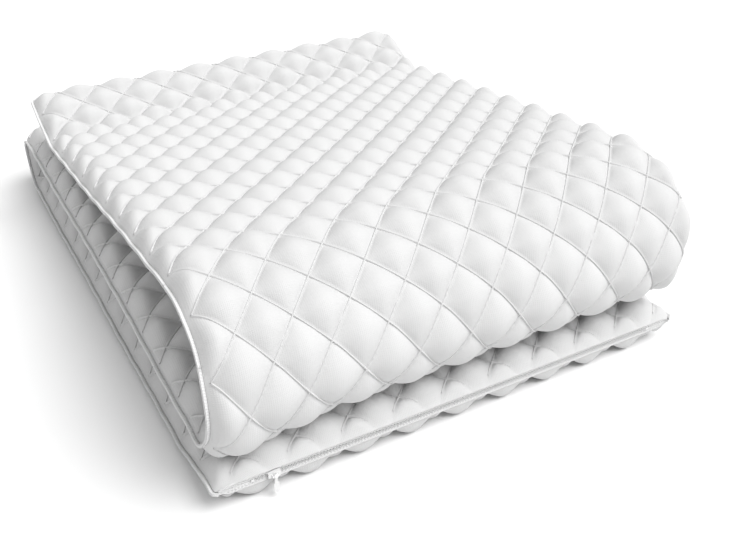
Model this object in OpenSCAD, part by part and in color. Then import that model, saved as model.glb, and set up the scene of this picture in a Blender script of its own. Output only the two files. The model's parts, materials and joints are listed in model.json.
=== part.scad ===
// Quilted memory foam mattress, folded in three with two soft folds.
// The pad is a chain of rigid sections. Each section carries its own length of
// the quilted cover, the two foam layers and the side piping. The sections turn
// about hinge lines in the pad's middle plane, where the cover's seam runs.
// Face A is the sleeping face: up on the bottom and top sections, down on the
// middle one. The origin is the centre of the folded pad, on the floor.

/* [Pad] */
// Width across the folds, piping included
mattress_w = 500; // [450:10:700]
// Thickness from quilt crown to quilt crown
pad_t = 47; // [45:0.5:47.5]
// Distance over which each face slopes down to its edge seam
edge_taper = 27; // [20:1:27]
// Thickness of each of the two foam layers
foam_t = 12; // [8:1:12]
// Distance from an edge seam to the foam
foam_inset = 20; // [20:1:30]

/* [Folded shape] */
// Length of the bottom section, zip edge to back fold
bottom_l = 652; // [600:1:700]
// Length of each short section in the back fold
back_fold_l = 29; // [29:0.5:31]
// Length of the middle section
middle_l = 632; // [580:1:640]
// Length of the front roll's first section, which rises from the middle layer
front_roll_1_l = 47; // [47:1:60]
// Length of the front roll's second section, which leans back
front_roll_2_l = 82; // [82:1:95]
// Length of the front roll's third section, on top of the roll
front_roll_3_l = 90; // [80:1:92]
// Length of the top section, front roll to valley
top_l = 378; // [340:1:380]
// Length of the curled end flap
flap_l = 86; // [60:1:95]
// Turn at the start of the front roll, in degrees
front_turn_1 = 55; // [50:0.5:55]
// Turn at the front of the front roll, in degrees
front_turn_2 = 66; // [60:0.5:66]
// Turn at the top of the front roll, in degrees
front_turn_3 = 66.5; // [60:0.5:66.5]
// Upward turn at the valley before the end flap, in degrees
valley_turn = 26; // [20:1:34]
// How far the top section can be lifted, in degrees
lift_turn = 60; // [30:1:60]

/* [Edge seams] */
// Width of the piping along the side seams
piping_w = 3; // [2:0.5:4]
// Height of the piping
piping_h = 4; // [3:0.5:6]

/* [Zip] */
// Distance from a side seam to the zip's ends
zip_margin = 34; // [28:1:40]
// Width across the closed coil
coil_h = 2; // [1.5:0.1:3]
// Depth of the coil and of the zip pocket behind it
coil_d = 2; // [1.5:0.1:2.5]
// Height of each zip tape beside the coil
tape_h = 4; // [3:0.5:6]
// Length of the slider body
slider_l = 11; // [9:0.5:15]
// Distance from the left seam to the slider's centre
slider_x = 54; // [52:1:80]
// Length of the pull
pull_l = 17; // [12:1:18]

/* [Hidden] */
// Gap left at each section's end
joint_gap = 0.4;
half_t = pad_t / 2;
// Three equal hinges turn the pad right round at the back
back_turn = 180 / 3;
// Empty strip behind the zip, in front of the cover
zip_depth = 4;
// Thickness of the zip tapes, and length of the stops at the coil's ends
tape_t = 1;
stop_l = 3;
// Slider plate: its thickness, its clearance from the coil, how far it stands above and below
// the coil, how far its flanges reach back, and how much of its height its rear end keeps
slider_t = 1.6;
slider_gap = 0.4;
flange_h = 1.8;
flange_reach = 0.3;
slider_rear = 0.72;
// Bridge: its bar's radius and distance from the plate, its posts' width, how far they run
// into the plate, and the pull's side play between them
bridge_r = 0.8;
bridge_out = 2.4;
post_w = 1;
post_weld = 0.2;
side_play = 0.3;
bridge_y = -slider_gap - slider_t - bridge_out;
// Pull: its width, thickness and narrower neck, and the eye's radius and wall
pull_w = 5;
pull_t = 1.4;
neck_w = 2.6;
neck_l = pull_l / 2;
tab_l = pull_l * 0.6;
eye_r = 1.15;
eye_wall = 0.72;
$fn = 32;

// One entry for each section, from the zip edge to the free end
SECTIONS = ["bottom", "back_fold_1", "back_fold_2", "middle", "front_roll_1",
            "front_roll_2", "front_roll_3", "top", "flap"];
LENGTHS = [bottom_l, back_fold_l, back_fold_l, middle_l, front_roll_1_l, front_roll_2_l,
           front_roll_3_l, top_l, flap_l];
LAST = len(SECTIONS) - 1;
// Turn at the hinge before each section, as folded; positive turns towards face A
TURNS = [0, back_turn, back_turn, back_turn, -front_turn_1, -front_turn_2, -front_turn_3,
         0, valley_turn];
// The top section lifts at the hinge before it
LIFT_HINGE = 7;
// Largest turn towards face A or face B that each hinge has to leave room for
A_ROOM = [for (i = [0 : LAST]) i == LIFT_HINGE ? lift_turn : max(0, TURNS[i])];
B_ROOM = [for (t = TURNS) max(0, -t)];

function heading(i) = i == 0 ? 0 : heading(i - 1) + TURNS[i];
function step_along(i) = LENGTHS[i] * [cos(heading(i)), sin(heading(i))];
function hinge_yz(i) = i == 0 ? [0, 0] : hinge_yz(i - 1) + step_along(i - 1);

// Y of the outermost corner at a section's end, on the side that h points to
function corner_y(i, h) =
  hinge_yz(i)[0] + (LENGTHS[i] - joint_gap) * cos(heading(i)) - h * sin(heading(i));
// The front roll and the back fold reach furthest, and centre the pad on the origin
centre_y = (corner_y(4, half_t) + corner_y(1, -half_t)) / 2;

LAYERS = ["quilt_a_", "memory_foam_", "base_foam_", "quilt_b_", "piping_"];
ZIP_NODES = ["zip_tape_upper", "zip_tape_lower", "zip_coil", "zip_end_left", "zip_end_right",
             "zip_slider", "zip_pull"];

// Places a section's own frame: Y along the pad, Z towards face A
module at_section(i) {
  translate([-mattress_w / 2, hinge_yz(i)[0] - centre_y, hinge_yz(i)[1] + half_t])
    rotate([heading(i), 0, 0])
      children();
}

// Room cut from one side of a section's start and end so that it can turn
function start_cut(i, side, h) = joint_gap + h * tan((side > 0 ? A_ROOM[i] : B_ROOM[i]) / 2);
function end_cut(i, side, h) = i == LAST ? 0 : start_cut(i + 1, side, h);

// Outline of one side of a section, seen from its edge, between two heights
module side_outline(i, side, low, high) {
  start_low = i == 0 ? zip_depth : start_cut(i, side, low);
  start_high = i == 0 ? zip_depth + edge_taper * high / half_t : start_cut(i, side, high);
  end_low = i == LAST ? piping_w : end_cut(i, side, low);
  end_high = i == LAST ? piping_w + edge_taper * high / half_t : end_cut(i, side, high);
  polygon([[start_low, side * low], [LENGTHS[i] - end_low, side * low],
           [LENGTHS[i] - end_high, side * high], [start_high, side * high]]);
}

// Outline across the pad, which slopes down to both side seams
module cross_outline(side) {
  polygon([[piping_w, 0], [mattress_w - piping_w, 0],
           [mattress_w - piping_w - edge_taper, side * half_t],
           [piping_w + edge_taper, side * half_t]]);
}

module along_x(width) {
  rotate([90, 0, 90])
    linear_extrude(width)
      children();
}

module along_y(length) {
  translate([0, length, 0])
    rotate([90, 0, 0])
      linear_extrude(length)
        children();
}

// Quilted panel of one face: knit, fibre fill and backing, hollowed for the foam
module quilt(i, side) {
  difference() {
    intersection() {
      along_x(mattress_w) side_outline(i, side, 0, half_t);
      along_y(LENGTHS[i]) cross_outline(side);
    }
    foam_space(i, side);
  }
}

// Space for one foam layer, which runs out through the section's hinge ends
module foam_space(i, side) {
  start = i == 0 ? foam_inset : -1;
  end = i == LAST ? LENGTHS[i] - foam_inset : LENGTHS[i] + 1;
  translate([foam_inset, start, side > 0 ? 0 : -foam_t])
    cube([mattress_w - 2 * foam_inset, end - start, foam_t]);
}

// One foam layer of a section
module foam(i, side) {
  intersection() {
    along_x(mattress_w) side_outline(i, side, 0, foam_t);
    foam_space(i, side);
  }
}

// Piping on both side seams, and across the free end of the flap
module piping(i) {
  start = joint_gap + piping_h / 2;
  end = i == LAST ? 0 : start;
  for (x = [0, mattress_w - piping_w])
    translate([x, i == 0 ? 0 : start, -piping_h / 2])
      cube([piping_w, LENGTHS[i] - end - (i == 0 ? 0 : start), piping_h]);
  if (i == LAST)
    translate([0, LENGTHS[i] - piping_w, -piping_h / 2])
      cube([mattress_w, piping_w, piping_h]);
}

// One woven zip tape, above or below the coil
module zip_tape(side) {
  translate([piping_w, coil_d / 2, side > 0 ? coil_h / 2 : -coil_h / 2 - tape_h])
    cube([mattress_w - 2 * piping_w, tape_t, tape_h]);
}

// Closed coil between the two zip ends
module zip_coil() {
  start = zip_margin + stop_l;
  translate([start, 0, -coil_h / 2])
    cube([mattress_w - 2 * start, coil_d, coil_h]);
}

// Metal stop at one end of the coil
module zip_end(x) {
  translate([x, 0, -coil_h / 2])
    cube([stop_l, coil_d, coil_h]);
}

// Slider: a face plate with two flanges that hug the coil, and a bridge for the pull
module zip_slider() {
  translate([slider_x, 0, 0]) {
    difference() {
      slider_plate();
      translate([-slider_l, -slider_gap, -coil_h / 2 - slider_gap])
        cube([2 * slider_l, coil_d, coil_h + 2 * slider_gap]);
    }
    bridge();
  }
}

// Solid of the slider's outline, shield shaped, from its face back to its flanges' ends
module slider_plate() {
  wide = coil_h + 2 * (slider_gap + flange_h);
  narrow = wide * slider_rear;
  translate([0, -slider_gap - slider_t, 0])
    along_y(slider_t + slider_gap + flange_reach)
      polygon([[-slider_l / 2, -narrow / 2], [0, -wide / 2], [slider_l / 2, -wide / 2],
               [slider_l / 2, wide / 2], [0, wide / 2], [-slider_l / 2, narrow / 2]]);
}

// Round bar on two posts, which the pull's eye turns about
module bridge() {
  bar_l = neck_w + 2 * (side_play + post_w);
  bar_along_x(bridge_r, bar_l);
  for (x = [-bar_l / 2, bar_l / 2 - post_w])
    translate([x, bridge_y, -bridge_r])
      cube([post_w, bridge_out + post_weld, 2 * bridge_r]);
}

// Round bar centred on the bridge's axis
module bar_along_x(radius, length) {
  translate([-length / 2, bridge_y, 0])
    rotate([0, 90, 0])
      cylinder(r = radius, h = length);
}

// Pull: a flat tab that hangs by a narrower neck from an eye around the bridge
module zip_pull() {
  translate([slider_x, 0, 0])
    difference() {
      union() {
        bar_along_x(eye_r + eye_wall, neck_w);
        pull_plate(neck_w, -neck_l, neck_l - eye_r);
        pull_plate(pull_w, -pull_l, tab_l);
      }
      bar_along_x(eye_r, 2 * pull_w);
    }
}

// Flat plate in the middle of the pull, from a height up
module pull_plate(width, start, height) {
  translate([-width / 2, bridge_y - pull_t / 2, start])
    cube([width, pull_t, height]);
}

for (i = [0 : LAST]) {
  color("white") at_section(i) quilt(i, 1);
  color("lightyellow") at_section(i) foam(i, 1);
  color("ivory") at_section(i) foam(i, -1);
  color("whitesmoke") at_section(i) quilt(i, -1);
  color("gainsboro") at_section(i) piping(i);
}
color("white") at_section(0) zip_tape(1);  // zip_tape_upper
color("white") at_section(0) zip_tape(-1);  // zip_tape_lower
color("lightgray") at_section(0) zip_coil();
color("silver") at_section(0) zip_end(zip_margin);  // zip_end_left
color("silver") at_section(0) zip_end(mattress_w - zip_margin - stop_l);  // zip_end_right
color("silver") at_section(0) zip_slider();
color("silver") at_section(0) zip_pull();
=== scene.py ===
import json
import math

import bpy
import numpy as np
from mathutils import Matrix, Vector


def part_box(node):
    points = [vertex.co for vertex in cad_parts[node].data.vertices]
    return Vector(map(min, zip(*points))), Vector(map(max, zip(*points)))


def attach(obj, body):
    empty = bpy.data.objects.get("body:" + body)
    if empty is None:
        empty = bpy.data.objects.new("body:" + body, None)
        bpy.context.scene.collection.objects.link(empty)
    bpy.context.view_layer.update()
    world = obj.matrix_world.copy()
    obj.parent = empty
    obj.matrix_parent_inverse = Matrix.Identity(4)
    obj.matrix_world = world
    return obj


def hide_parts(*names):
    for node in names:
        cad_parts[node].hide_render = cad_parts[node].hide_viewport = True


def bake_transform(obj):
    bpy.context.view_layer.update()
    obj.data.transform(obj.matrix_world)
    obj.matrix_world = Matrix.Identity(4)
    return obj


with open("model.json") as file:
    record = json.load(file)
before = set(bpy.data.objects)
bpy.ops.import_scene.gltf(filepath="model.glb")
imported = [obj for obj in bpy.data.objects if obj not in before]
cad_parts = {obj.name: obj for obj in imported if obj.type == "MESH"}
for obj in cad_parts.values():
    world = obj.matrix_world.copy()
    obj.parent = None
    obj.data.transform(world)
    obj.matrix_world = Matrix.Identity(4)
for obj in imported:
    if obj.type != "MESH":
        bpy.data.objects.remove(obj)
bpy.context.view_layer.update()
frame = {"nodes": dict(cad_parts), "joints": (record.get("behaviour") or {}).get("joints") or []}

# A thin memory foam mattress in a zipped, diamond-quilted cover, folded in three.
# The pad is drawn in two coordinates: x across it and s along its mid-plane, from the zip to
# the free end. Its pieces are cut at the middle of each CAD section, so that each of them
# bends over one hinge. Lengths are in metres and angles in radians unless a name says degrees.

SECTIONS = ("bottom", "back_fold_1", "back_fold_2", "middle", "front_roll_1",
            "front_roll_2", "front_roll_3", "top", "flap")
HINGES = ("unfold", "unfold_back_2", "unfold_back_3", "unfold_front_1", "unfold_front_2",
          "unfold_front_3", "top_lift", "unfold_valley")
STRIPS = len(HINGES)
BACK_FOLD = (0, 1, 2)
FRONT_ROLL = (3, 4, 5)
VALLEY = (7,)

# The pad's own sizes
HALF_WIDTH = 0.25
FLAP_LENGTH = 0.086
CORNER_RADIUS = 0.006

# The curve of the mid-plane: how far each bend reaches from its hinge along both sections,
# and the gentle curl of the end flap
BEND_REACH = (0.0145, 0.0145, 0.0145, 0.0235, 0.0233, 0.058, 0.0, 0.018)
FLAP_CURL = math.radians(8)
# The top layer lies a little further right than the two below it, and its left side is
# drawn in by its quilting, more and more over this reach
TOP_SHIFT = 0.0012
TOP_DRAWN_IN = 0.0055
TOP_DRAWN_IN_REACH = 0.11
# How far inside the side seams the four corners' rounding is felt
CORNER_REACH = 0.10
# How far the side edges of the bottom layer hang down, over which reach inside them, and
# between which distances from the zip and from the first back hinge
BOTTOM_DROOP = 0.0150
BOTTOM_DROOP_REACH = 0.050
BOTTOM_DROOP_RISE = (0.02, 0.09)
BOTTOM_DROOP_FADE = (-0.01, 0.02)
# The same of the roll's left end, where the distances are from the roll's first hinge
ROLL_DROOP = 0.0130
ROLL_DROOP_REACH = 0.130
ROLL_DROOP_SPAN = (-0.22, -0.05, 0.01, 0.10)
# How far the underside of the roll sags, how far its right end is drawn in there, over which
# reach, and how much flatter its puffs are
BELLY_SPAN = (-0.03, 0.0, 0.02, 0.09)
BELLY_SAG = 0.0050
BELLY_DRAWN_IN = 0.0120
BELLY_DRAWN_IN_REACH = 0.10
BELLY_FLATTER = 0.0030
# The puffs pull the side seams into a short wave, one a diamond, and a longer one. Both shift
# by so many radians a metre across the pad, so that the two sides differ
SHORT_WAVE = 0.0008
LONG_WAVE = 0.0010
LONG_WAVE_CELLS = 5.3
WAVE_SHIFT = 4

# Quilting: the diamonds' width and length, where one corner of each face's pattern lies, and
# how many mesh steps a diamond has
CELL_X = 0.05076
CELL_S = 0.04683
CORNER_X = {1: -0.2434, -1: -0.2354}
CORNER_S = {1: -0.0050, -1: 0.0012}
STEPS = 16
# How far the seams and the crowns between them stand off the mid-plane: in general, at the
# valley, where puffs rest, and inside the folds
STITCH_LEVEL = 0.0130
CROWN = 0.0229
VALLEY_STITCH_LEVEL = 0.0085
RESTING_CROWN = 0.0262
FOLD_CROWN = 0.0140
FOLD_STITCH_LEVEL = 0.0085
# How far past its outer hinges each bend changes the puffs, and how much the roll does
BACK_FOLD_REACH = 0.030
FRONT_ROLL_REACH = 0.050
FRONT_ROLL_SHARE = 0.45
VALLEY_REACH = 0.060
# How far each face takes to reach its height at the side seams, the free end and the zip
SIDE_TAPER = 0.019
END_TAPER = 0.011
ZIP_TAPER = 0.010
TAPER_POWER = 0.75
# Width of the plain strip beside the zip and the free end's seam
END_GAP = 0.0024
# How far the puffs beside the zip bulge past it, and how far from it they do
ZIP_BULGE = 0.0050
ZIP_BULGE_RISE = 0.003
ZIP_BULGE_REACH = 0.018
# A puff that rests is pressed flat at this height, on the floor or against the next layer,
# as far as this short of the fold that ends the contact, and less over the fade after it
FLOOR_LIMIT = 0.0232
FLOOR_GAP = 0.0002
LAYER_LIMIT = 0.0248
PRESS_EASE = 0.0007
PRESS_SHORT = 0.06
PRESS_FADE = 0.04
# How full the puffs are: below 1 is fuller than a sine. They vary a little, by a wave whose
# two steps have nothing to do with the pattern's
PUFF_POWER = 0.78
PUFF_VARIES = 0.03
PUFF_STEPS = (12.9898, 78.233)
# Half the height that the cover's two faces are sewn together at: at the binding, and at the
# zip, where it fades over these reaches into the pad and towards the corners
SEAM_HALF = 0.0010
ZIP_HALF = 0.0046
ZIP_FADE = 0.030
ZIP_CORNER_FADE = 0.014
FACE_NAMES = {1: "a", -1: "b"}

# The light rib that the quilting seams stand up as, and how far from the outline it ends
RIB_WIDTH = 0.0017
RIB_HEIGHT = 0.0021
RIB_MARGIN = 0.002

# Binding along the side seams and the free end
BINDING_HEIGHT = 0.0036
BINDING_WIDTH = 0.0030
BINDING_STEP = 0.004

# Foam layers: their outer faces, the gap between them, how far they stay from the seams, the
# length of a mesh step, and how their side edges are rounded
FOAM_TOP = 0.0082
FOAM_GAP = 0.0003
FOAM_INSET = 0.026
FOAM_STEP = 0.012
FOAM_COLUMNS = 41
FOAM_ROUND = 0.010
FOAM_EDGE_SHARE = 0.25

# bend_span gives a strip this much of its length on both sides of its hinge, or BEND_REACH where
# that is more, as far as its cut edges leave room
LEAST_BEND = 0.026

# The zip: the mesh rows along a tape, how the tapes meet and get lower at their ends, the
# spacing of the coil loops and of the stitches, where the stitches run as shares of the
# tapes' height, and how far from the tapes' ends they stop
TAPE_ROWS = 160
TAPES_MEET = 0.006
TAPE_END_TAPER = 0.010
TAPE_END_SHARE = 0.3
COIL_PITCH = 0.0014
STITCH_PITCH = 0.0030
STITCH_ROWS = (0.38, 0.84)
STITCH_MARGIN = 0.012

# Fabric patterns, as waves a metre
KNIT_SCALE = 200.0

# Studio, in the row frame
CAMERA_AT = (-0.3954, -0.8421, 0.5709)
CAMERA_RIGHT = 29.15
CAMERA_DOWN = 32.89
CAMERA_LENS = 45.2
SENSOR_WIDTH = 36.0
FLOOR_HALF = 12.0


def smooth(t):
    t = np.clip(t, 0.0, 1.0)
    return t * t * (3 - 2 * t)


def mix(a, b, share):
    return a + (b - a) * share


def span(t, rise, full, fall, end):
    """0 before rise, 1 from full to fall and 0 after end, with soft steps."""
    return smooth((t - rise) / (full - rise)) * (1 - smooth((t - fall) / (end - fall)))


def near_edge(x, reach):
    """From 0 at this reach inside the right side to 1 on it. -x gives the left side."""
    return smooth((x - HALF_WIDTH) / reach + 1)


def hinge_points():
    """Each hinge's y and z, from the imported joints, as an array of one row a hinge."""
    joints = {j["name"]: j for j in frame["joints"]}
    return np.array([joints[name]["pos_m"][1:] for name in HINGES])


def valley_turn():
    """The turn of the last hinge, which has no hinge after it to give its new heading."""
    joint = next(j for j in frame["joints"] if j["name"] == HINGES[-1])
    return math.radians(joint["range_deg"][1])


def lay_out():
    """The mid-plane's start, its stretches as (length, turn), its hinges' s, and its length."""
    hinges = hinge_points()
    start = np.array([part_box("piping_bottom")[0][1], hinges[0][1]])
    steps = np.diff(np.vstack([start, hinges]), axis=0)
    lengths = [*np.hypot(*steps.T), FLAP_LENGTH]
    headings = np.unwrap(np.arctan2(steps[:, 1], steps[:, 0]))
    turns = [*np.diff(headings), valley_turn()]
    stretches, places, used, s = [], [], 0.0, 0.0
    for length, turn, reach in zip(lengths, turns, BEND_REACH):
        straight = length - used - reach
        arc = 0.0 if reach == 0 else abs(turn) * reach / math.tan(abs(turn) / 2)
        stretches += [(straight, 0.0), (arc, turn)]
        places.append(s + straight + arc / 2)
        s += straight + arc
        used = reach
    stretches.append((lengths[-1] - used, FLAP_CURL))
    return start, stretches, np.array(places), s + lengths[-1] - used


START, STRETCHES, HINGE_S, PAD_LENGTH = lay_out()
# Where the strips are cut: at the middle of each section between two hinges
CUTS = [0.0, *((HINGE_S[1:] + HINGE_S[:-1]) / 2), PAD_LENGTH]


def walk(y, z, h0, h1, distance):
    """Where an arc of this length ends, from (y, z), as its heading goes from h0 to h1."""
    middle, half = (h0 + h1) / 2, (h1 - h0) / 2
    chord = distance * np.sinc(half / np.pi)
    return y + chord * np.cos(middle), z + chord * np.sin(middle)


def centreline(s):
    """The mid-plane's y, z and heading at each s."""
    s = np.asarray(s, float)
    y, z, heading = np.zeros_like(s), np.zeros_like(s), np.zeros_like(s)
    (y0, z0), begin, h0 = START, 0.0, 0.0
    for length, turn in STRETCHES:
        if length == 0:
            continue
        here = s >= begin - 1e-9
        along = s[here] - begin
        heading[here] = h0 + turn / length * along
        y[here], z[here] = walk(y0, z0, h0, heading[here], along)
        y0, z0 = walk(y0, z0, h0, h0 + turn, length)
        h0 += turn
        begin += length
    return y, z, heading


def half_width(s):
    """Half the pad's width, which is less at its four rounded corners."""
    short = np.clip(CORNER_RADIUS - np.minimum(s, PAD_LENGTH - s), 0, CORNER_RADIUS)
    return HALF_WIDTH - CORNER_RADIUS + np.sqrt(CORNER_RADIUS**2 - short**2)


def edge_wave(x, s):
    """How far the puffs pull the side seams off the mid-plane."""
    phase = 2 * np.pi * (s - CORNER_S[1]) / CELL_S
    short = SHORT_WAVE * np.sin(phase + WAVE_SHIFT * x)
    long = LONG_WAVE * np.sin(phase / LONG_WAVE_CELLS + 2 * WAVE_SHIFT * x)
    return (short + long) * near_edge(np.abs(x), SIDE_TAPER)


def belly(s):
    """1 along the underside of the front roll, falling to 0 on both sides of it."""
    return span(s - HINGE_S[FRONT_ROLL[0]], *BELLY_SPAN)


def droop(x, s):
    """How far the pad hangs below the line of its mid-plane."""
    bottom = smooth((s - BOTTOM_DROOP_RISE[0]) / np.ptp(BOTTOM_DROOP_RISE))
    past_hinge = s - HINGE_S[BACK_FOLD[0]]
    bottom *= 1 - smooth((past_hinge - BOTTOM_DROOP_FADE[0]) / np.ptp(BOTTOM_DROOP_FADE))
    roll = span(s - HINGE_S[FRONT_ROLL[0]], *ROLL_DROOP_SPAN)
    return (BOTTOM_DROOP * bottom * near_edge(np.abs(x), BOTTOM_DROOP_REACH)
            + ROLL_DROOP * roll * near_edge(-x, ROLL_DROOP_REACH) + BELLY_SAG * belly(s))


def sideways(x, s):
    """How far the pad lies off its own line across: the top layer and the roll's underside."""
    top = smooth((s - HINGE_S[FRONT_ROLL[0]]) / (HINGE_S[FRONT_ROLL[-1]] - HINGE_S[FRONT_ROLL[0]]))
    top = top * (TOP_SHIFT + TOP_DRAWN_IN * near_edge(-x, TOP_DRAWN_IN_REACH))
    return top - BELLY_DRAWN_IN * belly(s) * near_edge(x, BELLY_DRAWN_IN_REACH)


def place(x, s, height):
    """Points of the pad: x across, s along, at a height off the mid-plane towards face A."""
    x, s, height = np.broadcast_arrays(x, s, height)
    y, z, heading = centreline(s)
    narrower = (HALF_WIDTH - half_width(s)) * near_edge(np.abs(x), CORNER_REACH)
    off = height + edge_wave(x, s)
    level = z + off * np.cos(heading) - droop(x, s)
    return np.stack([x - np.sign(x) * narrower + sideways(x, s),
                     y - off * np.sin(heading),
                     np.maximum(level, FLOOR_GAP)], axis=-1)


def lattice(x, s, face):
    """The quilting's two diagonal coordinates. Its seams lie where either is a whole number."""
    across = (x - CORNER_X[face]) / CELL_X
    along = (s - CORNER_S[face]) / CELL_S
    return across + along, across - along


def puff(x, s, face):
    """How full the quilting is at a point, from 0 on a seam to 1 on a crown."""
    u, v = lattice(x, s, face)
    iu, iv = np.floor(u), np.floor(v)
    fuller = 1 + PUFF_VARIES * np.sin(PUFF_STEPS[0] * iu + PUFF_STEPS[1] * iv + face)
    return (np.sin(np.pi * (u - iu)) * np.sin(np.pi * (v - iv))) ** PUFF_POWER * fuller


def outline_taper(x, s):
    """From 0 at the pad's outline to 1 where the cover has its full height."""
    side = np.clip((HALF_WIDTH - BINDING_WIDTH - np.abs(x)) / SIDE_TAPER, 0, 1)
    zipped = np.clip((s - END_GAP) / ZIP_TAPER, 0, 1)
    end = np.clip((PAD_LENGTH - s - END_GAP) / END_TAPER, 0, 1)
    return (np.sin(np.pi / 2 * side) * np.sin(np.pi / 2 * zipped)
            * np.sin(np.pi / 2 * end)) ** TAPER_POWER


def seam_height(x, s):
    """Half the pad's thickness at its outline: more at the zip than at the bound seams."""
    zipped = (1 - smooth(s / ZIP_FADE)) * (1 - near_edge(np.abs(x), ZIP_CORNER_FADE))
    return mix(SEAM_HALF, ZIP_HALF, zipped)


def in_bends(s, hinges, reach):
    """1 in the bends of these hinges, falling to 0 over reach on both sides."""
    outside = np.maximum(HINGE_S[hinges[0]] - s, s - HINGE_S[hinges[-1]])
    return 1 - smooth(outside / reach)


def pressed(s, face):
    """1 where this face lies on the floor or against the layer beside it, else 0."""
    last = HINGE_S[BACK_FOLD[0] if face < 0 else FRONT_ROLL[0]]
    return 1 - smooth((s - last + PRESS_SHORT) / PRESS_FADE)


def cover_height(x, s, face):
    """How far a face of the cover stands off the mid-plane."""
    if face > 0:
        inner = in_bends(s, BACK_FOLD, BACK_FOLD_REACH)
    else:
        inner = in_bends(s, FRONT_ROLL, FRONT_ROLL_REACH) * FRONT_ROLL_SHARE
    press = pressed(s, face) * (1 - inner)
    crown = mix(mix(CROWN, RESTING_CROWN, press), FOLD_CROWN, inner)
    level = mix(STITCH_LEVEL, FOLD_STITCH_LEVEL, inner)
    if face > 0:
        level = mix(level, VALLEY_STITCH_LEVEL, in_bends(s, VALLEY, VALLEY_REACH))
        crown = crown - BELLY_FLATTER * belly(s)
    h = mix(seam_height(x, s), mix(level, crown, puff(x, s, face)), outline_taper(x, s))
    limit = FLOOR_LIMIT if face < 0 else LAYER_LIMIT
    flat = -PRESS_EASE * np.logaddexp(-h / PRESS_EASE, -limit / PRESS_EASE)
    return mix(h, np.maximum(flat, 0), press)


def zip_bulge(x, s, face):
    """How far the cover bulges forwards, past the zip."""
    near = span(s, END_GAP, END_GAP + ZIP_BULGE_RISE, 0.0, ZIP_BULGE_REACH)
    return ZIP_BULGE * near * puff(x, s, face) * outline_taper(x, HALF_WIDTH)


# ---- meshes ----

def make_piece(name, points, faces, uv=None, normals=None):
    """A smooth-shaded mesh object. uv is one pair a point, in metres of cloth."""
    mesh = bpy.data.meshes.new(name)
    mesh.from_pydata(points.tolist(), [], [list(f) for f in faces])
    mesh.polygons.foreach_set("use_smooth", np.ones(len(mesh.polygons), bool))
    if uv is not None:
        corners = np.empty(len(mesh.loops), np.int32)
        mesh.loops.foreach_get("vertex_index", corners)
        layer = mesh.uv_layers.new(name="cloth")
        layer.data.foreach_set("uv", uv[corners].astype(np.float32).ravel())
    if normals is not None:
        mesh.normals_split_custom_set_from_vertices(normals.tolist())
    piece = bpy.data.objects.new(name, mesh)
    bpy.context.scene.collection.objects.link(piece)
    return piece


def grid_quads(rows, columns, wrap=False):
    """Faces of a grid of points, row by row. wrap joins the last column to the first."""
    r, c = np.meshgrid(np.arange(rows - 1), np.arange(columns if wrap else columns - 1),
                       indexing="ij")
    right = (c + 1) % columns
    quads = [r * columns + c, r * columns + right, (r + 1) * columns + right,
             (r + 1) * columns + c]
    return np.stack(quads, axis=-1).reshape(-1, 4)


def point_normals(points, triangles):
    """Smooth normals of a whole face, so that the strips cut from it show no joins."""
    corner = points[triangles]
    n = np.cross(corner[:, 1] - corner[:, 0], corner[:, 2] - corner[:, 0])
    total = np.zeros_like(points)
    for i in range(3):
        np.add.at(total, triangles[:, i], n)
    return total / np.linalg.norm(total, axis=1, keepdims=True).clip(1e-12)


def steps_between(low, high, first, step, apart=0.3):
    """low, high and every first + n * step between them, none of them much closer than a step."""
    start = math.ceil((low - first) / step + apart)
    stop = math.floor((high - first) / step - apart) + 1
    return np.array([low, *(first + np.arange(start, stop) * step), high])


def quilt_face(face):
    """Points, triangles, cloth coordinates and normals of one whole face of the cover."""
    edge = HALF_WIDTH - BINDING_WIDTH
    xs = steps_between(-edge, edge, CORNER_X[face], CELL_X / STEPS)
    rows = [steps_between(a, b, CORNER_S[face], CELL_S / STEPS)
            for a, b in zip(CUTS, CUTS[1:])]
    ss = np.concatenate([rows[0], *(r[1:] for r in rows[1:])])
    s, x = np.meshgrid(ss, xs, indexing="ij")
    points = place(x, s, face * cover_height(x, s, face))
    points[..., 1] -= zip_bulge(x, s, face)
    points = points.reshape(-1, 3)
    quads = grid_quads(len(ss), len(xs))
    cloth = np.stack([x, s], axis=-1).reshape(-1, 2)
    middle = cloth[quads].mean(axis=1)
    u, v = lattice(middle[:, 0], middle[:, 1], face)
    falling = np.abs(u - np.round(u)) < np.abs(v - np.round(v))
    split = np.where(falling[:, None], quads[:, [1, 2, 3, 1, 3, 0]], quads[:, [0, 1, 2, 0, 2, 3]])
    triangles = split.reshape(-1, 3)
    if face < 0:
        triangles = triangles[:, ::-1]
    return points, triangles, cloth, point_normals(points, triangles), len(xs), ss


def quilt_strips(face):
    """The cover's face as one piece for each hinge."""
    points, triangles, cloth, normals, columns, ss = quilt_face(face)
    row = triangles.min(axis=1) // columns
    strips = []
    for k in range(STRIPS):
        first, last = (int(np.argmin(np.abs(ss - cut))) for cut in CUTS[k:k + 2])
        mine = triangles[(row >= first) & (row < last)] - first * columns
        own = slice(first * columns, (last + 1) * columns)
        strips.append(make_piece(f"cover_{FACE_NAMES[face]}_{k + 1}", points[own], mine,
                                 cloth[own], normals[own]))
    return strips


def seam_lines(face):
    """Every quilting seam as arrays of x and s, one step apart, inside the outline."""
    diagonal = np.arange(0, math.ceil(PAD_LENGTH / CELL_S) + 1, 1 / STEPS)
    s = CORNER_S[face] + CELL_S * diagonal
    reach = math.ceil(PAD_LENGTH / CELL_S) + math.ceil(2 * HALF_WIDTH / CELL_X) + 2
    for sign in (1, -1):
        for number in range(-reach, reach):
            x = CORNER_X[face] + CELL_X * (number + sign * diagonal)
            inside = np.abs(x) < HALF_WIDTH - BINDING_WIDTH - RIB_MARGIN
            inside &= np.minimum(s, PAD_LENGTH - s) > END_GAP + RIB_MARGIN
            if inside.sum() > 2:
                yield x[inside], s[inside], sign


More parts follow.
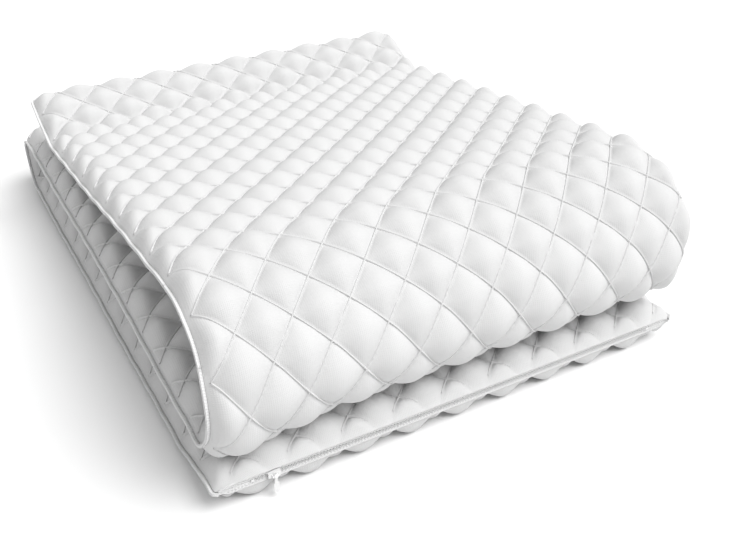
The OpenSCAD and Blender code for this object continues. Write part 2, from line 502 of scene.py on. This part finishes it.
def rib_strips(face):
    """The seams' raised ribs, as one piece for each hinge."""
    out = np.array([-1, -0.55, 0, 0.55, 1]) * RIB_WIDTH / 2
    rise = np.array([-0.5, 0.75, 1, 0.75, -0.5]) * RIB_HEIGHT
    length = math.hypot(CELL_X, CELL_S)
    parts = [([], [], []) for _ in range(STRIPS)]
    for x, s, sign in seam_lines(face):
        across = np.array([CELL_S, -sign * CELL_X]) / length
        base = cover_height(x, s, face)
        px = x[:, None] + across[0] * out
        ps = s[:, None] + across[1] * out
        for k in range(STRIPS):
            here = np.flatnonzero((s >= CUTS[k]) & (s <= CUTS[k + 1]))
            if len(here) == 0:
                continue
            here = np.arange(here[0], min(here[-1] + 2, len(s)))
            if len(here) < 2:
                continue
            h = face * (base[here, None] + rise)
            points = place(px[here], ps[here], h).reshape(-1, 3)
            faces = grid_quads(len(here), len(out))
            if face * sign > 0:
                faces = faces[:, ::-1]
            add_part(parts[k], points, faces,
                     np.stack([px[here], ps[here]], axis=-1).reshape(-1, 2))
    return [joined(f"seam_rib_{FACE_NAMES[face]}_{k + 1}", part) for k, part in enumerate(parts)]


def add_part(part, points, faces, uv):
    """Adds points, faces and cloth coordinates to a piece that is still in parts."""
    count = sum(len(p) for p in part[0])
    part[0].append(points)
    part[1].append(faces + count)
    part[2].append(uv)


def joined(name, part):
    return make_piece(name, *(np.concatenate(p) for p in part))


def tube_faces(rows, columns):
    """Faces of a swept closed profile, with both ends capped."""
    last = (rows - 1) * columns
    return [*grid_quads(rows, columns, wrap=True).tolist(),
            list(range(columns)), list(range(last, last + columns))[::-1]]


def binding_profile():
    """Out and up of the binding: a soft flat band with a sewn groove near each edge."""
    half = BINDING_HEIGHT / 2
    upper = np.array([(-0.0028, 0.55), (-0.0014, 0.70), (-0.0008, 1.00), (-0.0002, 0.98),
                      (0.0001, 0.80), (-0.0010, 0.66), (0.0001, 0.50), (0.0003, 0.24)])
    upper = upper * [1, half]
    return np.vstack([upper, upper[::-1] * [1, -1]])


def binding_paths(k):
    """The lines that the binding follows in strip k, each as rows of (x, s)."""
    count = max(3, round((CUTS[k + 1] - CUTS[k]) / BINDING_STEP) + 1)
    s = np.linspace(CUTS[k], CUTS[k + 1], count)
    corner = CORNER_RADIUS * (1 - np.cos(np.linspace(0, np.pi / 2, 9)))
    if k == 0:
        s = np.concatenate([corner, s[s > CORNER_RADIUS * 1.1]])
    if k == STRIPS - 1:
        s = np.concatenate([s[s < PAD_LENGTH - CORNER_RADIUS * 1.1], PAD_LENGTH - corner[::-1]])
    right = np.stack([np.full_like(s, HALF_WIDTH), s], axis=-1)
    left = (right * [-1, 1])[::-1]
    if k < STRIPS - 1:
        return [right, left]
    across = np.linspace(HALF_WIDTH, -HALF_WIDTH, round(2 * HALF_WIDTH / BINDING_STEP))[1:-1]
    end = np.stack([across, np.full_like(across, PAD_LENGTH)], axis=-1)
    return [np.concatenate([right, end, left])]


def sweep(path, up, profile):
    """Rows of points: a profile of (out, up) carried along a path. Out is on its right."""
    along = np.gradient(path, axis=0)
    out = np.cross(along, up)
    out /= np.linalg.norm(out, axis=1, keepdims=True)
    rows = path[:, None] + profile[:, :1] * out[:, None] + profile[:, 1:] * up[:, None]
    return rows.reshape(-1, 3)


def binding_strip(k):
    profile = binding_profile()
    points, faces, uv, count = [], [], [], 0
    for line in binding_paths(k):
        x, s = line.T
        heading = centreline(s)[2]
        up = np.stack([np.zeros_like(s), -np.sin(heading), np.cos(heading)], axis=-1)
        path = place(x, s, 0.0)
        points.append(sweep(path, up, profile))
        faces += [[i + count for i in f] for f in tube_faces(len(s), len(profile))]
        step = np.linalg.norm(np.diff(path, axis=0, prepend=path[:1]), axis=1)
        along = np.repeat(np.cumsum(step), len(profile))
        uv.append(np.stack([along, np.tile(profile[:, 1], len(s))], axis=-1))
        count += len(points[-1])
    return make_piece(f"binding_{k + 1}", np.concatenate(points), faces, np.concatenate(uv))


def foam_strip(k, name, low, high):
    """One foam layer's part of strip k: a slab with soft edges, inside the cover."""
    reach = HALF_WIDTH - FOAM_INSET
    xs = np.linspace(-reach, reach, FOAM_COLUMNS)
    start = max(CUTS[k], FOAM_INSET)
    end = min(CUTS[k + 1], PAD_LENGTH - FOAM_INSET)
    ss = np.linspace(start, end, max(3, round((end - start) / FOAM_STEP) + 1))
    thin = np.minimum(1, (reach - np.abs(xs)) / FOAM_ROUND + FOAM_EDGE_SHARE)
    s, x = np.meshgrid(ss, xs, indexing="ij")
    middle, half = (low + high) / 2, (high - low) / 2
    top = place(x, s, middle + half * thin)
    bottom = place(x, s, middle - half * thin)[:, ::-1]
    ring = np.concatenate([top, bottom], axis=1)
    columns = ring.shape[1]
    cloth = np.stack([x, s], axis=-1)
    cloth = np.concatenate([cloth, cloth[:, ::-1]], axis=1)
    return make_piece(f"{name}_{k + 1}", ring.reshape(-1, 3), tube_faces(len(ss), columns),
                      cloth.reshape(-1, 2))


# ---- zip ----

def zip_tape(name, side):
    """A woven tape: a flat band with a thicker sewn hem at its outer edge.

    The two tapes part around the coil, and meet past its ends.
    """
    inner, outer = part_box("zip_coil")[1][2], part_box("zip_tape_upper")[1][2]
    inner, outer = inner - START[1] + 0.0002, outer - START[1]
    front = np.array([(-0.0012, inner), (-0.0009, mix(inner, outer, 0.30)),
                      (-0.0009, mix(inner, outer, 0.62)), (-0.0003, mix(inner, outer, 0.74)),
                      (-0.0003, mix(inner, outer, 0.94)), (-0.0009, outer)])
    back = np.array([(-0.0026, outer - 0.0004), (-0.0020, inner)])
    profile = np.vstack([front, back])
    end = HALF_WIDTH - CORNER_RADIUS
    x = np.linspace(-end, end, TAPE_ROWS)
    closed = smooth((np.abs(x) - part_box("zip_coil")[1][0]) / TAPES_MEET)[:, None]
    lower = mix(TAPE_END_SHARE, 1.0, smooth((end - np.abs(x)) / TAPE_END_TAPER))[:, None]
    met = (profile[:, 1] - inner) * outer / (outer - inner)
    z = START[1] + side * mix(profile[:, 1], met, closed) * lower
    points = np.stack([np.broadcast_to(x[:, None], z.shape),
                       np.broadcast_to(START[0] - profile[:, 0], z.shape), z], axis=-1)
    points = points.reshape(-1, 3)
    faces = tube_faces(len(x), len(profile))
    if side < 0:
        faces = [f[::-1] for f in faces]
    return make_piece(name, points, faces, points[:, [0, 2]])


def beads(name, places, sizes, sides=8):
    """One small rounded bead at each place, as one piece. sizes are half lengths in x, y, z."""
    around = np.linspace(0, 2 * np.pi, sides, endpoint=False)
    rings = np.array([-1.0, -0.7, 0.0, 0.7, 1.0])
    radius = np.sqrt(np.maximum(1 - rings**2, 0.12))
    one = np.array([(r * math.cos(a), r * math.sin(a), t)
                    for t, r in zip(rings, radius) for a in around]) * sizes
    start = np.arange(len(places))[:, None, None] * len(one)
    walls = grid_quads(len(rings), sides, wrap=True) + start
    caps = np.array([range(sides)[::-1], range(len(one) - sides, len(one))]) + start
    faces = [*walls.reshape(-1, 4).tolist(), *caps.reshape(-1, sides).tolist()]
    points = (places[:, None] + one).reshape(-1, 3)
    return make_piece(name, points, faces, points[:, [0, 2]])


def zip_coil():
    """Every coil loop between the two stops."""
    low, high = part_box("zip_coil")
    x = np.arange(low[0] + COIL_PITCH / 2, high[0], COIL_PITCH)
    middle = (np.array(low) + np.array(high)) / 2
    places = np.stack([x, np.full_like(x, middle[1]), np.full_like(x, middle[2])], axis=-1)
    half = (np.array(high) - np.array(low)) / 2
    return beads("zip_coil_loops", places, (COIL_PITCH * 0.42, half[1], half[2] * 1.15))


def zip_stitches():
    """Rows of thread stitches along both tapes."""
    low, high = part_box("zip_tape_upper")
    x = np.arange(low[0] + STITCH_MARGIN, high[0] - STITCH_MARGIN, STITCH_PITCH)
    rows = []
    for share in STITCH_ROWS:
        for side in (1, -1):
            z = START[1] + side * share * (high[2] - START[1])
            rows.append(np.stack([x, np.full_like(x, START[0] + 0.0006), np.full_like(x, z)],
                                 axis=-1))
    return beads("zip_stitches", np.concatenate(rows), (STITCH_PITCH * 0.36, 0.0005, 0.0003))


# ---- joints ----

def tangent_at(k):
    """The unit vector along the pad at hinge k, halfway through its bend."""
    heading = centreline(HINGE_S[k:k + 1])[2][0]
    return np.array([math.cos(heading), math.sin(heading)])


def bend_span(k):
    """Two points on the pad's line around hinge k: all of strip k's cut edges lie outside this."""
    hinge, along = hinge_points()[k], tangent_at(k)
    wish = max(BEND_REACH[k], LEAST_BEND)
    reach = []
    for cut, sign in ((CUTS[k], -1), (CUTS[k + 1], 1)):
        if cut in (0.0, PAD_LENGTH):
            reach.append(wish)
            continue
        x = np.linspace(-HALF_WIDTH, HALF_WIDTH, 400)
        room = [sign * (place(x, np.full_like(x, cut), face * cover_height(x, cut, face))[:, 1:]
                        - hinge) @ along for face in (1, -1)]
        reach.append(min(wish, min(r.min() for r in room)))
    return hinge - along * reach[0], hinge + along * reach[1]


def hang(piece, k, slot, material, *nodes):
    """Bakes a piece's transform, gives it its material, and hides the CAD parts of hinge k's
    sections that it replaces. slot is not used.
    """
    start, end = bend_span(k)
    bodies = [f"{name}_section" for name in SECTIONS[k:k + 2]]
    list(start)
    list(end)
    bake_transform(piece)
    finish_piece(piece, slot, material)
    if nodes:
        names = [f"{layer}_{SECTIONS[k + 1]}" for layer in nodes]
        names += [f"{layer}_{SECTIONS[0]}" for layer in nodes if k == 0]
        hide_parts(*names)


def finish_piece(piece, slot, material):
    piece.data.materials.clear()
    piece.data.materials.append(material)


# ---- materials ----

def new_material(name, color, roughness, **settings):
    """A Principled material, with its node tree and its shader."""
    material = bpy.data.materials.new(name)
    material.use_nodes = True
    tree = material.node_tree
    shader = tree.nodes["Principled BSDF"]
    shader.inputs["Base Color"].default_value = (*color, 1)
    shader.inputs["Roughness"].default_value = roughness
    for key, value in settings.items():
        shader.inputs[key.replace("_", " ").title().replace("Ior", "IOR")].default_value = value
    return material, tree, shader


def node(tree, kind, **inputs):
    made = tree.nodes.new(kind)
    for name, value in inputs.items():
        key = name.replace("_", " ").title()
        if isinstance(value, bpy.types.NodeSocket):
            tree.links.new(value, made.inputs[key])
        else:
            made.inputs[key].default_value = value
    return made


def cloth_coordinates(tree):
    made = tree.nodes.new("ShaderNodeUVMap")
    made.uv_map = "cloth"
    return made.outputs["UV"]


def noise(tree, vector, scale, detail=2.0):
    made = node(tree, "ShaderNodeTexNoise", Vector=vector, Scale=scale, Detail=detail)
    return made.outputs["Fac"]


def wave(tree, vector, scale, direction, profile="SIN"):
    made = node(tree, "ShaderNodeTexWave", Vector=vector, Scale=scale)
    made.bands_direction = direction
    made.wave_profile = profile
    return made.outputs["Fac"]


def maths(tree, operation, a, b):
    made = tree.nodes.new("ShaderNodeMath")
    made.operation = operation
    for socket, value in zip(made.inputs, (a, b)):
        if isinstance(value, bpy.types.NodeSocket):
            tree.links.new(value, socket)
        else:
            socket.default_value = value
    return made.outputs[0]


def ramp(tree, value, dark, light, low=0.0, high=1.0):
    """A colour that goes from dark to light as value goes from low to high."""
    made = tree.nodes.new("ShaderNodeValToRGB")
    tree.links.new(value, made.inputs["Fac"])
    for element, place_at, color in zip(made.color_ramp.elements, (low, high), (dark, light)):
        element.position = place_at
        element.color = (*color, 1)
    return made.outputs["Color"]


def bump(tree, shader, height, distance, strength=1.0):
    made = node(tree, "ShaderNodeBump", Height=height, Distance=distance, Strength=strength)
    tree.links.new(made.outputs["Normal"], shader.inputs["Normal"])


def gray(value, warmth=0.0):
    return (value + warmth, value, value - warmth)


def knit_material():
    """White knit: fine ribs and courses, soft folds, a faint unevenness, and a sheen."""
    material, tree, shader = new_material("white_knit", gray(0.62), 0.85, sheen_weight=0.06,
                                          sheen_roughness=0.45, specular_ior_level=0.25)
    cloth = cloth_coordinates(tree)
    wales = wave(tree, cloth, KNIT_SCALE, "X")
    courses = wave(tree, cloth, KNIT_SCALE * 1.35, "Y")
    loops = maths(tree, "MULTIPLY", wales, courses)
    folds = noise(tree, cloth, 90.0, 3.0)
    bump(tree, shader, maths(tree, "ADD", maths(tree, "MULTIPLY", loops, 0.30), folds), 0.0004)
    uneven = noise(tree, cloth, 14.0, 4.0)
    tree.links.new(ramp(tree, uneven, gray(0.615), gray(0.63), 0.3, 0.7),
                   shader.inputs["Base Color"])
    return material


def rib_material():
    """The sewn rib of the quilting: thread stitches that cross it."""
    material, tree, shader = new_material("stitched_rib", gray(0.7), 0.7, sheen_weight=0.1,
                                          specular_ior_level=0.35)
    cloth = cloth_coordinates(tree)
    stitches = wave(tree, cloth, 90.0, "DIAGONAL")
    bump(tree, shader, stitches, 0.00005)
    tree.links.new(ramp(tree, stitches, gray(0.61), gray(0.64), 0.1, 0.6),
                   shader.inputs["Base Color"])
    return material


def tape_material(name, low, high, scale):
    """Twill tape: fine slanting ribs, with painted shade in the grooves between them."""
    material, tree, shader = new_material(name, gray(high), 0.7, sheen_weight=0.2,
                                          specular_ior_level=0.3)
    cloth = cloth_coordinates(tree)
    twill_and_groove_shade = wave(tree, cloth, scale, "DIAGONAL")
    bump(tree, shader, twill_and_groove_shade, 0.0002)
    # Painted shade: the colour goes from low in the twill's grooves to high on its ribs.
    tree.links.new(ramp(tree, twill_and_groove_shade, gray(low), gray(high)), shader.inputs["Base Color"])
    return material


def foam_material(name, color):
    """Open-celled foam: small pits, with painted shade darkening their insides."""
    material, tree, shader = new_material(name, color, 0.9, specular_ior_level=0.15)
    cloth = cloth_coordinates(tree)
    pit_depth_and_shade = node(tree, "ShaderNodeTexVoronoi", Vector=cloth, Scale=700.0).outputs["Distance"]
    bump(tree, shader, pit_depth_and_shade, 0.0006)
    painted_pit_shade = tuple(c * 0.86 for c in color)
    # Painted shade: each pit's colour is darker towards its middle, where its bump is lowest.
    tree.links.new(ramp(tree, pit_depth_and_shade, painted_pit_shade, color, 0.0, 0.5), shader.inputs["Base Color"])
    return material


def hard_material(name, value, metallic, roughness):
    """Moulded nylon or plated metal with faint wear marks."""
    material, tree, shader = new_material(name, gray(value), roughness, metallic=metallic)
    place_in = tree.nodes.new("ShaderNodeTexCoord").outputs["Object"]
    marks = noise(tree, place_in, 900.0, 4.0)
    bump(tree, shader, marks, 0.0001, 0.5)
    tree.links.new(ramp(tree, marks, gray(value * 0.88), gray(value), 0.3, 0.7),
                   shader.inputs["Base Color"])
    return material


def floor_material():
    material, tree, shader = new_material("pale_floor", gray(0.84), 0.9, specular_ior_level=0.1)
    place_in = tree.nodes.new("ShaderNodeTexCoord").outputs["Object"]
    tree.links.new(ramp(tree, noise(tree, place_in, 2.0), gray(0.835), gray(0.845)),
                   shader.inputs["Base Color"])
    return material


# ---- studio ----

def add_camera():
    camera = bpy.data.objects.new("camera", bpy.data.cameras.new("camera"))
    camera.data.lens = CAMERA_LENS
    camera.data.sensor_width = SENSOR_WIDTH
    camera.data.clip_end = 50.0
    right = math.radians(CAMERA_RIGHT)
    down = math.radians(CAMERA_DOWN)
    look = Vector((math.sin(right) * math.cos(down), math.cos(right) * math.cos(down),
                   -math.sin(down)))
    camera.location = CAMERA_AT
    camera.rotation_euler = look.to_track_quat("-Z", "Y").to_euler()
    bpy.context.scene.collection.objects.link(camera)
    bpy.context.scene.camera = camera


def add_light(name, comes_from, spread_degrees, strength):
    """A wide, even light from far away, as from a large soft box."""
    lamp = bpy.data.lights.new(name, "SUN")
    lamp.angle = math.radians(spread_degrees)
    lamp.energy = strength
    light = bpy.data.objects.new(name, lamp)
    light.location = comes_from
    light.rotation_euler = (-Vector(comes_from)).to_track_quat("-Z", "Y").to_euler()
    bpy.context.scene.collection.objects.link(light)


def add_floor():
    mesh = bpy.data.meshes.new("floor")
    corners = [(FLOOR_HALF * x, FLOOR_HALF * y, 0) for x, y in ((-1, -1), (1, -1), (1, 1), (-1, 1))]
    mesh.from_pydata(corners, [], [(0, 1, 2, 3)])
    floor = bpy.data.objects.new("floor", mesh)
    bpy.context.scene.collection.objects.link(floor)
    mesh.materials.append(floor_material())


def add_world(horizon, zenith):
    """A white sky that is brighter overhead than at the horizon."""
    world = bpy.data.worlds.new("studio")
    world.use_nodes = True
    tree = world.node_tree
    background = tree.nodes["Background"]
    direction = tree.nodes.new("ShaderNodeTexCoord").outputs["Generated"]
    height = node(tree, "ShaderNodeSeparateXYZ", Vector=direction).outputs["Z"]
    sky = ramp(tree, height, gray(horizon), gray(zenith), 0.0, 0.9)
    tree.links.new(sky, background.inputs["Color"])
    bpy.context.scene.world = world


# ---- the mattress ----

def add_mattress():
    knit, rib = knit_material(), rib_material()
    # 0.68 is painted shade in the binding tape's twill grooves, 0.76 is its own colour
    tape = tape_material("binding_tape", 0.68, 0.76, 260.0)
    foams = {"memory_foam": foam_material("memory_foam", (0.86, 0.87, 0.84)),
             "base_foam": foam_material("base_foam", (0.84, 0.80, 0.66))}
    for face, name in FACE_NAMES.items():
        for k, piece in enumerate(quilt_strips(face)):
            hang(piece, k, "quilt_fabric", knit, f"quilt_{name}")
        for k, piece in enumerate(rib_strips(face)):
            hang(piece, k, "quilt_fabric", rib)
    for k in range(STRIPS):
        hang(binding_strip(k), k, "piping_tape", tape, "piping")
        for name, low, high in (("memory_foam", FOAM_GAP, FOAM_TOP),
                                ("base_foam", -FOAM_TOP, -FOAM_GAP)):
            piece = foam_strip(k, name, low, high)
            hang(piece, k, name, foams[name], name)


def add_zip():
    # 0.66 is painted shade in the zip tape's twill grooves, 0.74 is its own colour
    tape = tape_material("zip_tape", 0.66, 0.74, 420.0)
    nylon = hard_material("zip_nylon", 0.72, 0.0, 0.4)
    metal = hard_material("zip_metal", 0.82, 0.15, 0.3)
    for name, side in (("zip_tape_upper", 1), ("zip_tape_lower", -1)):
        piece = zip_tape(f"{name}_woven", side)
        ride_root(piece, "zip_tape", tape)
        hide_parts(name)
    coil = zip_coil()
    ride_root(coil, "zip_coil", nylon)
    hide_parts("zip_coil")
    ride_root(zip_stitches(), "zip_tape", tape)
    for name in ("zip_slider", "zip_pull", "zip_end_left", "zip_end_right"):
        frame["nodes"][name].data.materials[0] = metal


def ride_root(piece, slot, material):
    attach(piece, f"{SECTIONS[0]}_section")
    finish_piece(piece, slot, material)


add_camera()
add_floor()
add_world(0.36, 0.72)
add_light("key", (0.55, -0.8, 1.5), 40.0, 2.85)
add_mattress()
add_zip()
bpy.context.scene.view_settings.view_transform = "Standard"
